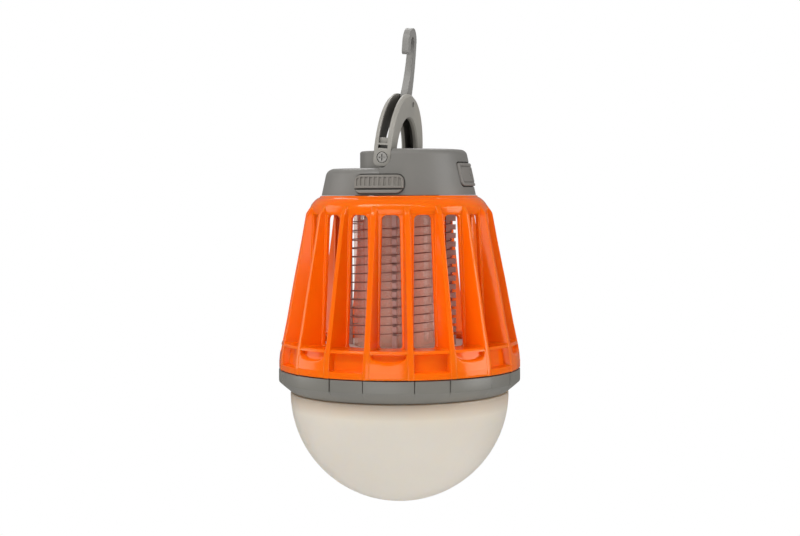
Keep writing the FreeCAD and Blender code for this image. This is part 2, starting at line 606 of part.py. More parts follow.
# inner edge of the stem, down to the eye
p_eye_l = (HOOK_PIV_Y + PR * cos(radians(172)), HOOK_PIV_Z + PR * sin(radians(172)))
A((YR - SW, cz), (4.1, 156.2), (1.55, 149.6))
A((1.55, 149.6), (0.42, 147.4), p_eye_l)
A(p_eye_l, (HOOK_PIV_Y, HOOK_PIV_Z - PR), p_eye_r)
hookw = Part.Wire(e)
hook = Part.Face(hookw).extrude(V(HOOK_T, 0, 0))
hook.translate(V(-HOOK_T / 2, 0, 0))
hook = try_fillet(hook, 0.3, [q for q in hook.Edges if q.BoundBox.XLength < 1e-6])
hook = hook.cut(Part.makeCylinder(1.08, 20, V(-10, HOOK_PIV_Y, HOOK_PIV_Z), V(1, 0, 0)))
put("hook", leaned(hook))

# ---- summary ---------------------------------------------------------------
allc = Part.makeCompound(list(DONE.values()))
bb = allc.BoundBox
print("pieces", len(DONE), "box", [round(v, 2) for v in (bb.XMin, bb.YMin, bb.ZMin, bb.XMax, bb.YMax, bb.ZMax)])
ax = V(cos(radians(LEAN)), 0, -sin(radians(LEAN)))
hp = V(0, HOOK_PIV_Y, HOOK_PIV_Z)
print("hook joint at", (round((hp.z - PIVOT_Z) * sin(radians(LEAN)), 4), hp.y,
                        round(PIVOT_Z + (hp.z - PIVOT_Z) * cos(radians(LEAN)), 4)), "axis", (round(ax.x, 6), 0, round(ax.z, 6)))
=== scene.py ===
import bpy
import json
import math
from math import sin, cos, pi, radians, degrees, sqrt, atan2
from mathutils import Vector, Matrix


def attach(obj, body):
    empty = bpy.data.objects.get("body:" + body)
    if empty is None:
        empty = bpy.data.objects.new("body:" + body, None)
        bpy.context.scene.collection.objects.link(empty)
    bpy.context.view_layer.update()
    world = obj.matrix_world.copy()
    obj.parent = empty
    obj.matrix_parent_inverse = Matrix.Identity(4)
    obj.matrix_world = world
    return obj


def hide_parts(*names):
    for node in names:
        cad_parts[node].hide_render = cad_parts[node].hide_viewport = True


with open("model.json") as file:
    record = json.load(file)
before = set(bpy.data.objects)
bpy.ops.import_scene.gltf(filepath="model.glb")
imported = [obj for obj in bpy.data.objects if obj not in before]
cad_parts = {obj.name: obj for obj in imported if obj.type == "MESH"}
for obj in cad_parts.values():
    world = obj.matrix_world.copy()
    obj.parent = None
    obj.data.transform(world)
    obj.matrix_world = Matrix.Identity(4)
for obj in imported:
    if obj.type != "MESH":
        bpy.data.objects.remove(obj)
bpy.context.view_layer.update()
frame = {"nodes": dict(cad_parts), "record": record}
scene = bpy.context.scene
MM = 0.001

# ------------------------------------------------------------------ materials


def new_mat(name):
    m = bpy.data.materials.new(name)
    m.use_nodes = True
    nt = m.node_tree
    nt.nodes.clear()
    out = nt.nodes.new("ShaderNodeOutputMaterial")
    b = nt.nodes.new("ShaderNodeBsdfPrincipled")
    nt.links.new(b.outputs[0], out.inputs[0])
    return m, nt, b, out


def coord(nt):
    return nt.nodes.new("ShaderNodeTexCoord").outputs["Object"]


def noise(nt, vec, scale, detail=3.0, rough=0.55):
    n = nt.nodes.new("ShaderNodeTexNoise")
    n.inputs["Scale"].default_value = scale
    n.inputs["Detail"].default_value = detail
    n.inputs["Roughness"].default_value = rough
    nt.links.new(vec, n.inputs["Vector"])
    return n.outputs["Fac"]


def ramp(nt, fac, stops):
    r = nt.nodes.new("ShaderNodeValToRGB")
    el = r.color_ramp.elements
    while len(el) < len(stops):
        el.new(0.5)
    for e, (p, c) in zip(el, stops):
        e.position = p
        e.color = (c[0], c[1], c[2], 1.0)
    nt.links.new(fac, r.inputs["Fac"])
    return r.outputs["Color"]


def remap(nt, fac, lo, hi):
    m = nt.nodes.new("ShaderNodeMapRange")
    m.inputs["To Min"].default_value = lo
    m.inputs["To Max"].default_value = hi
    nt.links.new(fac, m.inputs["Value"])
    return m.outputs["Result"]


def bump(nt, height, strength, dist, normal=None):
    b = nt.nodes.new("ShaderNodeBump")
    b.inputs["Strength"].default_value = strength
    b.inputs["Distance"].default_value = dist
    nt.links.new(height, b.inputs["Height"])
    if normal is not None:
        nt.links.new(normal, b.inputs["Normal"])
    return b.outputs["Normal"]


def bevel_normal(nt, radius):
    b = nt.nodes.new("ShaderNodeBevel")
    b.samples = 6
    b.inputs["Radius"].default_value = radius
    return b.outputs["Normal"]


def plastic(name, col, rough, var=0.06, spec=0.5, grain=2600.0, grain_h=0.000012, bevel=0.0, coat=0.0,
            warm=(1.0, 1.0, 1.0), sss=0.0, sss_r=(1, 1, 1), sss_scale=0.001, ior=1.46, edge=0.0,
            cavity_shade=0.0, cavity_shade_dist=0.003, tint=None):
    """Moulded plastic: slow tone variation, fine mould grain, uneven gloss, painted highlights on convex edges and
    painted shade in cavities.
    """
    m, nt, b, out = new_mat(name)
    v = coord(nt)
    lo = [c * (1 - var) for c in col]
    hi = [min(1.0, c * (1 + var) * w) for c, w in zip(col, warm)]
    base = ramp(nt, noise(nt, v, 55.0, 4.0), [(0.3, lo), (0.7, hi)])
    if edge > 0.0:
        # painted highlight: pointiness picks out convex edges on dense meshes and lightens them
        g = nt.nodes.new("ShaderNodeNewGeometry")
        pr = nt.nodes.new("ShaderNodeMapRange")
        pr.inputs["From Min"].default_value = 0.505
        pr.inputs["From Max"].default_value = 0.60
        nt.links.new(g.outputs["Pointiness"], pr.inputs["Value"])
        mul = nt.nodes.new("ShaderNodeMath")
        mul.operation = "MULTIPLY"
        nt.links.new(pr.outputs["Result"], mul.inputs[0])
        nt.links.new(remap(nt, noise(nt, v, 420.0, 3.0), 0.2 * edge, 1.3 * edge), mul.inputs[1])
        mx = nt.nodes.new("ShaderNodeMix")
        mx.data_type = "RGBA"
        mx.blend_type = "MIX"
        nt.links.new(mul.outputs[0], mx.inputs["Factor"])
        nt.links.new(base, mx.inputs["A"])
        # lighter colour of the painted edge highlight
        mx.inputs["B"].default_value = (min(1, col[0] * 1.5 + 0.05), min(1, col[1] * 1.5 + 0.05),
                                        min(1, col[2] * 1.5 + 0.05), 1)
        base = mx.outputs["Result"]
    if cavity_shade > 0.0:
        # painted shade: ambient occlusion darkens the base colour in slots, seams and corners
        ao = nt.nodes.new("ShaderNodeAmbientOcclusion")
        ao.samples = 8
        ao.inputs["Distance"].default_value = cavity_shade_dist
        rr = nt.nodes.new("ShaderNodeMapRange")
        rr.inputs["From Min"].default_value = 0.15
        rr.inputs["From Max"].default_value = 0.8
        rr.inputs["To Min"].default_value = 1.0 - cavity_shade
        rr.inputs["To Max"].default_value = 1.0
        nt.links.new(ao.outputs["AO"], rr.inputs["Value"])
        mc = nt.nodes.new("ShaderNodeMix")
        mc.data_type = "RGBA"
        mc.blend_type = "MULTIPLY"
        mc.inputs["Factor"].default_value = 1.0
        nt.links.new(base, mc.inputs["A"])
        nt.links.new(rr.outputs["Result"], mc.inputs["B"])
        base = mc.outputs["Result"]
    nt.links.new(base, b.inputs["Base Color"])
    nt.links.new(remap(nt, noise(nt, v, 160.0, 5.0), rough * 0.82, rough * 1.2), b.inputs["Roughness"])
    nrm = bevel_normal(nt, bevel) if bevel > 0 else None
    nt.links.new(bump(nt, noise(nt, v, grain, 2.0), 0.35, grain_h, nrm), b.inputs["Normal"])
    b.inputs["Specular IOR Level"].default_value = spec
    b.inputs["IOR"].default_value = ior
    if tint:
        b.inputs["Specular Tint"].default_value = (tint[0], tint[1], tint[2], 1)
    if coat > 0:
        b.inputs["Coat Weight"].default_value = coat
        b.inputs["Coat Roughness"].default_value = 0.08
    if sss > 0:
        b.inputs["Subsurface Weight"].default_value = sss
        b.inputs["Subsurface Radius"].default_value = sss_r
        b.inputs["Subsurface Scale"].default_value = sss_scale
    return m


def metal(name, col, rough, brushed=True, bevel=0.00008):
    m, nt, b, out = new_mat(name)
    v = coord(nt)
    b.inputs["Metallic"].default_value = 1.0
    base = ramp(nt, noise(nt, v, 240.0, 4.0), [(0.3, [c * 0.86 for c in col]), (0.75, [min(1, c * 1.08) for c in col])])
    nt.links.new(base, b.inputs["Base Color"])
    nt.links.new(remap(nt, noise(nt, v, 900.0, 4.0), rough * 0.7, rough * 1.4), b.inputs["Roughness"])
    nt.links.new(bump(nt, noise(nt, v, 3500.0 if brushed else 1200.0, 2.0), 0.25, 0.00001, bevel_normal(nt, bevel)),
                 b.inputs["Normal"])
    return m


def srgb(r, g, b):
    def f(c):
        c /= 255.0
        return c / 12.92 if c <= 0.04045 else ((c + 0.055) / 1.055) ** 2.4
    return [f(r), f(g), f(b)]


M = {}
M["orange_abs"] = plastic("orange_abs", [0.99, 0.150, 0.0016], 0.15, var=0.03, spec=0.36, grain=1500.0, grain_h=0.000005,
                          tint=(1.0, 0.72, 0.42), sss=0.30, sss_r=(1.0, 0.20, 0.03), sss_scale=0.0035, coat=0.16)
# the cavity settings below darken slots, seams and corners with painted shade
M["grey_abs"] = plastic("grey_abs", srgb(121, 119, 115), 0.42, var=0.05, spec=0.42, bevel=0.00035, warm=(1.01, 1.0, 0.98),
                        grain=3200.0, grain_h=0.000014, cavity_shade=0.45, cavity_shade_dist=0.0016)
M["ring_abs"] = plastic("ring_abs", srgb(120, 118, 112), 0.36, var=0.05, spec=0.45, warm=(1.01, 1.0, 0.98),
                        grain=3200.0, grain_h=0.000012, cavity_shade=0.6, cavity_shade_dist=0.0010)
M["bail_nylon"] = plastic("bail_nylon", srgb(162, 159, 152), 0.46, var=0.08, spec=0.40, bevel=0.00035, warm=(1.02, 1.0, 0.97),
                          grain=2400.0, grain_h=0.00002, cavity_shade=0.62, cavity_shade_dist=0.009)
M["hook_nylon"] = plastic("hook_nylon", srgb(142, 140, 136), 0.46, var=0.08, spec=0.40, bevel=0.00035,
                          grain=2400.0, grain_h=0.00002, cavity_shade=0.8, cavity_shade_dist=0.006)
M["button_rubber"] = plastic("button_rubber", srgb(126, 122, 117), 0.50, var=0.07, spec=0.38, grain=4200.0,
                             grain_h=0.00002, cavity_shade=0.5, cavity_shade_dist=0.0012)
M["cover_rubber"] = plastic("cover_rubber", srgb(128, 123, 116), 0.50, var=0.08, spec=0.40, grain=4200.0,
                            grain_h=0.00002, cavity_shade=0.55, cavity_shade_dist=0.0012)
M["white_abs"] = plastic("white_abs", srgb(214, 206, 196), 0.45, var=0.04, bevel=0.0002)
M["seal_rubber"] = plastic("seal_rubber", [0.03, 0.03, 0.03], 0.55, var=0.15, spec=0.3)
M["white_board"] = plastic("white_board", [0.78, 0.77, 0.73], 0.35, var=0.05, bevel=0.0001)
M["green_board"] = plastic("green_board", [0.015, 0.12, 0.045], 0.3, var=0.2, coat=0.3, bevel=0.0001)
M["black_plastic"] = plastic("black_plastic", [0.018, 0.018, 0.019], 0.4, var=0.15, bevel=0.00015)
M["capacitor_red"] = plastic("capacitor_red", [0.30, 0.045, 0.02], 0.22, var=0.1, coat=0.4, bevel=0.0003)
M["cell_wrap"] = plastic("cell_wrap", [0.03, 0.13, 0.34], 0.25, var=0.06, coat=0.5, bevel=0.0003)
M["post_pink"] = plastic("post_pink", [0.50, 0.31, 0.27], 0.35, var=0.05, bevel=0.0002)
# painted light: the carrier is light grey; its salmon tint and raised brightness stand in for orange light bounced from
# the cage
M["carrier_bounce_tinted"] = plastic("carrier_bounce_tinted", [0.98, 0.71, 0.62], 0.45, var=0.05, bevel=0.0004)
M["steel"] = metal("steel", [0.62, 0.61, 0.59], 0.28)
M["screw_steel"] = metal("screw_steel", [0.34, 0.33, 0.31], 0.42)
M["grid_steel"] = metal("grid_steel", [0.27, 0.15, 0.125], 0.34, bevel=0.00003)


def led_mat(name, emit, body, centre=None):
    m, nt, b, out = new_mat(name)
    v = coord(nt)
    nt.links.new(ramp(nt, noise(nt, v, 600.0, 2.0), [(0.35, [c * 0.9 for c in body]), (0.65, body)]), b.inputs["Base Color"])
    nt.links.new(remap(nt, noise(nt, v, 1500.0, 2.0), 0.12, 0.25), b.inputs["Roughness"])
    nt.links.new(bump(nt, noise(nt, v, 2500.0, 2.0), 0.2, 0.00001, bevel_normal(nt, 0.0002)), b.inputs["Normal"])
    b.inputs["Coat Weight"].default_value = 0.6
    return m


M["led_yellow"] = led_mat("led_yellow", None, [0.80, 0.62, 0.10])
M["led_clear"] = led_mat("led_clear", None, [0.82, 0.78, 0.74])


def diffuser_mat():
    m, nt, b, out = new_mat("diffuser")
    v = coord(nt)
    c = srgb(250, 233, 216)
    base = ramp(nt, noise(nt, v, 18.0, 3.0), [(0.3, [x * 0.975 for x in c]), (0.7, [min(1, x * 1.015) for x in c])])
    # painted shadow: the dome's colour darkens towards its top, where the ring above it casts shade
    sep = nt.nodes.new("ShaderNodeSeparateXYZ")
    nt.links.new(v, sep.inputs[0])
    mr = nt.nodes.new("ShaderNodeMapRange")
    mr.inputs["From Min"].default_value = 0.0345
    mr.inputs["From Max"].default_value = 0.0405
    nt.links.new(sep.outputs["Z"], mr.inputs["Value"])
    ring_shadow_col = ramp(nt, mr.outputs["Result"], [(0.0, [1.0, 1.0, 1.0]), (1.0, [0.62, 0.585, 0.54])])
    mu = nt.nodes.new("ShaderNodeMix")
    mu.data_type = "RGBA"
    mu.blend_type = "MULTIPLY"
    mu.inputs["Factor"].default_value = 1.0
    nt.links.new(base, mu.inputs["A"])
    nt.links.new(ring_shadow_col, mu.inputs["B"])
    base = mu.outputs["Result"]
    nt.links.new(base, b.inputs["Base Color"])
    nt.links.new(remap(nt, noise(nt, v, 120.0, 3.0), 0.34, 0.44), b.inputs["Roughness"])
    nt.links.new(bump(nt, noise(nt, v, 5200.0, 2.0), 0.3, 0.000010), b.inputs["Normal"])
    b.inputs["Specular IOR Level"].default_value = 0.30
    b.inputs["Subsurface Weight"].default_value = 0.75
    b.inputs["Subsurface Radius"].default_value = (1.0, 0.82, 0.62)
    b.inputs["Subsurface Scale"].default_value = 0.006
    tr = nt.nodes.new("ShaderNodeBsdfTranslucent")
    nt.links.new(base, tr.inputs["Color"])
    mx = nt.nodes.new("ShaderNodeMixShader")
    mx.inputs[0].default_value = 0.18
    nt.links.new(b.outputs[0], mx.inputs[1])
    nt.links.new(tr.outputs[0], mx.inputs[2])
    nt.links.new(mx.outputs[0], out.inputs[0])
    return m


M["diffuser"] = diffuser_mat()


def tube_mat():
    """Ultraviolet-passing tube: thin tinted plastic, part clear and part milky."""
    m, nt, b, out = new_mat("clear_plastic")
    v = coord(nt)
    c = srgb(255, 214, 196)
    base = ramp(nt, noise(nt, v, 60.0, 3.0), [(0.3, [x * 0.95 for x in c]), (0.7, [min(1, x * 1.04) for x in c])])
    nt.links.new(base, b.inputs["Base Color"])
    nt.links.new(remap(nt, noise(nt, v, 300.0, 3.0), 0.10, 0.2), b.inputs["Roughness"])
    nt.links.new(bump(nt, noise(nt, v, 700.0, 2.0), 0.2, 0.00001), b.inputs["Normal"])
    b.inputs["Specular IOR Level"].default_value = 0.5
    tp = nt.nodes.new("ShaderNodeBsdfTransparent")
    tp.inputs["Color"].default_value = (1.0, 0.90, 0.86, 1)
    mx = nt.nodes.new("ShaderNodeMixShader")
    mx.inputs[0].default_value = 0.70
    nt.links.new(b.outputs[0], mx.inputs[1])
    nt.links.new(tp.outputs[0], mx.inputs[2])
    nt.links.new(mx.outputs[0], out.inputs[0])
    return m


M["clear_plastic"] = tube_mat()

slot_of = {s["node"]: s["material_slot"] for s in frame["record"]["subparts"]}
for name, o in frame["nodes"].items():
    o.data.materials.clear()
    o.data.materials.append(M[{"grid_posts": "post_pink", "cell_carrier": "carrier_bounce_tinted", "hook": "hook_nylon",
                              "hook_pin": "screw_steel"}.get(name, slot_of[name])])
    for p in o.data.polygons:
        p.material_index = 0

# ------------------------------------------------------------------ mesh tools


def make(name, verts, faces, mat, body, replaces=(), sharp=40.0):
    me = bpy.data.meshes.new(name)
    me.from_pydata([(x * MM, y * MM, z * MM) for x, y, z in verts], [], faces)
    me.validate()
    me.update()
    ob = bpy.data.objects.new(name, me)
    scene.collection.objects.link(ob)
    me.materials.append(M[mat])
    for p in me.polygons:
        p.use_smooth = True
    me.set_sharp_from_angle(angle=radians(sharp))
    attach(ob, body)
    if replaces:
        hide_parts(*replaces)
    return ob


def rounded(pts, seg=4, closed=True):
    """Polygon with its corners rounded: each point is (x, y) or (x, y, radius)."""
    out = []
    n = len(pts)
    for i, p in enumerate(pts):
        r = p[2] if len(p) > 2 else 0.0
        if r <= 0 or (not closed and i in (0, n - 1)):
            out.append((p[0], p[1]))
            continue
        a, c = pts[(i - 1) % n], pts[(i + 1) % n]
        u = Vector((a[0] - p[0], a[1] - p[1]))
        w = Vector((c[0] - p[0], c[1] - p[1]))
        lu, lw = u.length, w.length
        u.normalize(); w.normalize()
        ang = math.acos(max(-1, min(1, u.dot(w))))
        if ang > pi - 2e-2:
            d = min(r, lu * 0.45, lw * 0.45)
            s = Vector((p[0], p[1])) + u * d
            e = Vector((p[0], p[1])) + w * d
            out += [tuple(s.lerp(e, k / seg)) for k in range(seg + 1)]
            continue
        d = min(r / math.tan(ang / 2), lu * 0.49, lw * 0.49)
        rr = d * math.tan(ang / 2)
        bis = (u + w).normalized()
        cen = Vector((p[0], p[1])) + bis * (rr / sin(ang / 2))
        s = Vector((p[0], p[1])) + u * d
        e = Vector((p[0], p[1])) + w * d
        a0 = atan2(s.y - cen.y, s.x - cen.x)
        a1 = atan2(e.y - cen.y, e.x - cen.x)
        da = (a1 - a0 + pi) % (2 * pi) - pi
        for k in range(seg + 1):
            t = a0 + da * k / seg
            out.append((cen.x + rr * cos(t), cen.y + rr * sin(t)))
    return out


def pol(r, phi, z):
    """Point at radius r, phi degrees from -Y towards +X."""
    a = radians(phi)
    return (r * sin(a), -r * cos(a), z)


def lathe(profile, phis):
    """Closed ring: profile(phi) gives a closed (r, z) loop of constant length."""
    verts, faces = [], []
    n = None
    for ph in phis:
        loop = profile(ph)
        n = len(loop)
        verts += [pol(r, ph, z) for r, z in loop]
    m = len(phis)
    for i in range(m):
        j = (i + 1) % m
        for k in range(n):
            l = (k + 1) % n
            faces.append((i * n + k, j * n + k, j * n + l, i * n + l))
    return verts, faces


def loft(rows, cap=True):
    verts, faces = [], []
    n = len(rows[0])
    for r in rows:
        verts += r
    for i in range(len(rows) - 1):
        for k in range(n):
            l = (k + 1) % n
            faces.append((i * n + k, i * n + l, (i + 1) * n + l, (i + 1) * n + k))
    if cap:
        faces.append(tuple(reversed(range(n))))
        base = (len(rows) - 1) * n
        faces.append(tuple(range(base, base + n)))
    return verts, faces


def interp(tab, x):
    if x <= tab[0][0]:
        return tab[0][1]
    for (a, fa), (b, fb) in zip(tab, tab[1:]):
        if x <= b:
            return fa + (fb - fa) * (x - a) / (b - a)
    return tab[-1][1]


def sstep(x, a, b):
    t = max(0.0, min(1.0, (x - a) / (b - a)))
    return t * t * (3 - 2 * t)


# ------------------------------------------------------------------ cage
RO = [(48.95, 43.9), (49.2, 44.0), (51.5, 44.0), (51.8, 43.96), (54.5, 43.7), (57.4, 43.2), (66.1, 41.4), (80.7, 38.7),
      (95.2, 35.8), (103.9, 34.2), (104.7, 34.05), (105.3, 33.75), (106.0, 33.3), (106.9, 32.65), (107.7, 32.05), (108.2, 31.62),
      (108.5, 31.3)]
ZL = [48.97, 49.05, 49.2, 49.43, 49.5, 49.65, 50.6, 51.5, 51.8, 54.5, 57.4, 58.4, 58.72, 58.8, 59.0, 59.3, 59.7, 60.2, 61.0, 66.1, 73.0, 80.7, 88.0, 95.2,
      100.0, 102.6, 102.9, 103.2, 103.5, 103.8, 104.05, 104.25, 104.4, 104.5, 104.58, 104.9, 105.3, 105.6, 106.0, 106.5, 106.9,
      107.3, 107.7, 108.0, 108.2, 108.47]
STRIP_R = [(58.7, 33.0), (104.6, 30.9)]
STRIP_T = [(58.7, 1.9), (80.0, 2.2), (104.6, 2.5)]


def rib_section(z):
    """Fin on its wall strip: half outline (r, t, corner radius) from the inside out."""
    ro = interp(RO, z)
    tf = interp([(49.4, 1.2), (58.4, 1.15), (59.2, 1.0), (104.0, 0.86), (108.4, 0.8)], z)
    root = tf + 0.42
    ri_, hw = interp(STRIP_R, z), interp(STRIP_T, z)
    rs = ri_ + 1.4
    if z > 103.0:
        t = min(1.0, (z - 103.0) / 1.58)
        hw += 1.6 * (1 - sqrt(max(0.0, 1 - t * t)))
    if z < 60.2:
        t = min(1.0, max(0.0, (60.2 - z) / 1.45))
        hw += 0.9 * (1 - sqrt(max(0.0, 1 - t * t)))
    if z < 58.71:
        hw = root + 0.1
        rs, ri_ = (38.5, 36.5) if z > 49.45 else (41.0, 39.4)
    if z > 104.6:
        hw = root + 0.1
        rs = min(32.2, ro - 0.5)
        ri_ = rs - 1.2
    if z < 49.1 or z > 108.4:
        tf -= 0.12
        root -= 0.1
    return ri_, rs, ro, hw, root, tf


def rib_rows(phi):
    rows = []
    a = radians(phi)
    er, et = Vector((sin(a), -cos(a))), Vector((cos(a), sin(a)))
    for z in ZL:
        ri_, rs, ro, hw, root, tf = rib_section(z)
        loop = rounded([(ri_, -hw, 0.3), (rs, -hw, 0.35), (rs, -root, 0.35), (ro, -tf, 0.34), (ro, tf, 0.34), (rs, root, 0.35),
                        (rs, hw, 0.35), (ri_, hw, 0.3)], 4)
        row = []
        for r, t in loop:
            p = er * r + et * t
            row.append((p.x, p.y, z))
        rows.append(row)
    return rows


verts, faces = [], []
for i in range(18):
    v, f = loft(rib_rows(i * 20.0))
    o = len(verts)
    verts += v
    faces += [tuple(x + o for x in q) for q in f]
ribs = make("cage_ribs_moulded", verts, faces, "orange_abs", "housing", ["cage_ribs"], sharp=50)


# collar: broad ring with a soft sloping shoulder
def collar_profile(phi):
    return [(32.0, 104.62), (32.2, 104.7), (32.28, 104.9), (32.28, 106.6), (32.2, 107.15), (32.0, 107.7), (31.7, 108.25), (31.3, 108.8),
            (30.8, 109.35), (30.25, 109.88), (29.65, 110.32), (29.1, 110.62), (28.78, 110.75), (28.7, 110.84), (28.62, 111.0),
            (28.52, 111.17), (28.4, 111.26), (28.2, 111.29), (24.2, 111.29), (24.1, 111.2), (24.1, 104.72), (24.2, 104.62)]


def phis_with(fine):
    s = set()
    for k in range(18):
        for d in fine:
            s.add(round((k * 20.0 + d) % 360.0, 4))
    return sorted(s)


v, f = lathe(collar_profile, [2.0 * i for i in range(180)])
make("cage_collar_moulded", v, f, "orange_abs", "housing", ["cage_collar"], sharp=60)

# base band: height field over angle and height
ZB = [48.97, 49.05, 49.25, 49.7, 50.2, 50.9, 51.2, 51.35, 51.5, 51.65, 51.85, 52.3, 53.0, 53.8, 54.3, 54.55, 54.8, 55.05, 55.3, 55.6, 56.0,
      56.4, 56.8, 57.1, 57.3, 57.42, 57.54, 57.66, 57.8, 58.0, 58.2]
BAND_TOP = [(58.25, 0.0), (58.45, -0.06), (58.6, -0.2), (58.68, -0.42)]


def band_r(phi, z):
    base = interp(RO, z) - 0.13
    c = phi % 20.0 - 10.0                    # degrees from the cell's middle
    k = int(phi // 20.0) % 2
    if k == 1:
        sz = sstep(z, 51.2, 51.65) * (1 - sstep(z, 57.35, 57.7))
        sz *= 1 - sstep(abs(c) * 0.755, 6.1, 6.4)
        return base - 2.5 * sz
    s = abs(c) * 0.755                       # mm along the arc
    hw = 6.15
    if s < hw:
        zb = 57.6 - 2.95 * (1 - (s / hw) ** 2.5) ** (1 / 2.5)
    else:
        zb = 57.6
    d = min((z - zb) / 0.42 + 0.5, (57.6 - z) / 0.22 + 0.35)
    t = max(0.0, min(1.0, d))
    t = t * t * (3 - 2 * t)
    return base - 1.7 * t


def band_profile(phi):
    d = abs((phi + 10.0) % 20.0 - 10.0)
    out = []
    for z in ZB:
        r = band_r(phi, z)
        if z < 49.15:
            r -= 0.12 if z < 49.0 else 0.04
        out.append((r, z))
    rt = interp(RO, 58.2) - 0.13
    for z, o in BAND_TOP:
        out.append((rt + o - 0.1, z))
    lift = 0.0
    if d < 3.6:
        t = (3.6 - d) / 2.0
        t = min(1.0, t)
        lift = 0.9 * (1 - sqrt(max(0.0, 1 - t * t)))
    out += [(41.2, 58.7 + lift * 0.6), (38.0, 58.7 + lift), (34.0, 58.7 + lift), (31.2, 58.7), (30.5, 58.5), (30.35, 58.2), (30.35, 53.3),
            (36.25, 53.3), (36.25, 49.42), (39.2, 49.42), (39.4, 48.97), (40.6, 48.97)]
    return out


fineb = sorted(set([0, 1.0, 1.4, 1.52, 1.6, 1.68, 1.76, 1.84, 1.92, 2.05, 2.2, 2.4, 2.6, 2.9, 3.2, 3.6, 4.2, 5, 6, 7, 8, 9, 10]))
fineb = sorted(set(fineb + [20 - x for x in fineb if x > 0]))
v, f = lathe(band_profile, phis_with(fineb))
make("cage_base_moulded", v, f, "orange_abs", "housing", ["cage_base"], sharp=60)

# ------------------------------------------------------------------ shade ring and dome


def ring_profile(phi):
    c = (phi - 10.0) % 40.0
    c = min(c, 40.0 - c)                      # degrees from the middle of a wide segment
    step = 0.36 * sstep(c, 11.42, 11.62)
    seam = 0.40 * max(0.0, 1 - abs(c - 11.62) / 0.34)
    ro = 44.0 - step - seam
    return rounded([(38.35, 40.35, 0.1), (39.25, 40.32, 0.25), (42.2, 42.75, 0), (44.0 - 0.05 - step * 0.9, 44.3, 0.2), (ro, 44.75, 0.0),
                    (ro, 48.62, 0.3), (38.4, 48.62, 0.1), (38.4, 47.5, 0), (36.7, 47.5, 0), (36.7, 48.62, 0.1),
                    (35.85, 48.62, 0.1), (35.85, 42.5, 0.1), (38.35, 42.5, 0.1)], 3)


s = set()
for k in range(9):
    c0 = 10.0 + 40.0 * k
    for d in (-20, -18, -16, -14, -12.4, -11.98, -11.9, -11.8, -11.7, -11.62, -11.54, -11.46, -11.38, -11.28, -11.1, -10, -7, -4, 0):
        s.add(round((c0 + d) % 360.0, 4))
        s.add(round((c0 - d) % 360.0, 4))
v, f = lathe(ring_profile, sorted(s))
make("shade_ring_moulded", v, f, "ring_abs", "shade", ["shade_ring"], sharp=35)


def dome_mesh():
    outer, inner = [], []
    N = 56
    for i in range(1, N + 1):
        a = pi / 2 * i / N
        outer.append((39.8 * sin(a), 39.8 - 39.8 * cos(a)))
    rim = [(39.74, 39.95), (39.6, 40.06), (39.4, 40.1), (38.3, 40.1), (38.2, 40.2), (38.2, 42.1), (38.05, 42.28), (36.8, 42.28), (36.65, 42.1),
           (36.65, 39.9)]
    for i in range(N - 8, 0, -1):
        a = pi / 2 * i / N
        inner.append((37.9 * sin(a), 39.8 - 37.9 * cos(a)))
    prof = outer + rim + inner
    K = 144
    verts = [(0, 0, 0.0), (0, 0, 1.9)]
    faces = []
    n = len(prof)
    for j in range(K):
        ph = 360.0 * j / K
        verts += [pol(r, ph, z) for r, z in prof]
    for j in range(K):
        a, b = 2 + j * n, 2 + ((j + 1) % K) * n
        faces.append((0, b, a))
        for k in range(n - 1):
            faces.append((a + k, b + k, b + k + 1, a + k + 1))
        faces.append((a + n - 1, b + n - 1, 1))
    return verts, faces


v, f = dome_mesh()
make("diffuser_dome_moulded", v, f, "diffuser", "shade", ["diffuser_dome"], sharp=60)

# ------------------------------------------------------------------ grid wires


def tube_path(pts, r, sides=10):
    """Round wire swept along points, with flat ends."""
    rows = []
    n = len(pts)
    pts = [Vector(p) for p in pts]
    up = Vector((0, 0, 1))
    prev = None
    for i in range(n):
        t = (pts[min(i + 1, n - 1)] - pts[max(i - 1, 0)]).normalized()
        if prev is None:
            u = up.cross(t)
            if u.length < 1e-6:
                u = Vector((1, 0, 0))
            u.normalize()
        else:
            u = (prev - t * prev.dot(t)).normalized()
        prev = u
        w = t.cross(u)
        rows.append([tuple(pts[i] + u * (r * cos(2 * pi * k / sides)) + w * (r * sin(2 * pi * k / sides))) for k in range(sides)])
    return loft(rows)


for nm, ph0, node in (("grid_wire_live_coil", 0.0, "grid_wire_live"), ("grid_wire_return_coil", 180.0, "grid_wire_return")):
    pts = []
    turns = (102.3 - 60.9) / 6.2
    n = int(turns * 60)
    for i in range(n + 1):
        a = radians(ph0) + 2 * pi * turns * i / n
        pts.append((19.2 * cos(a), 19.2 * sin(a), 60.9 + (102.3 - 60.9) * i / n))
    # the wire's end turns up into its ferrule
    x, y, z = pts[-1]
    a = radians(ph0) + 2 * pi * turns
    tx, ty = -sin(a), cos(a)
    pts = pts[:-2]
    pts += [(x - tx * 0.1, y - ty * 0.1, z + 0.12), (x, y, z + 0.4), (x, y, z + 0.8)]
    v, f = tube_path(pts, 0.2, 10)
    make(nm, v, f, "grid_steel", "housing", [node], sharp=60)

# ------------------------------------------------------------------ rubber parts of the head


def head_r(z):
    return 28.05 + (24.45 - 28.05) * (z - 111.4) / (127.75 - 111.4)


def spread(total, step, ends):
    """Positions 0..total, close together at both ends."""
    k = min(1.0, total / (2.6 * ends[-1]))
    e = [x * k for x in ends]
    n = max(2, int(round((total - 2 * e[-1]) / step)))
    mid = [e[-1] + (total - 2 * e[-1]) * i / n for i in range(1, n)]
    return e + mid + [total - x for x in reversed(e)]


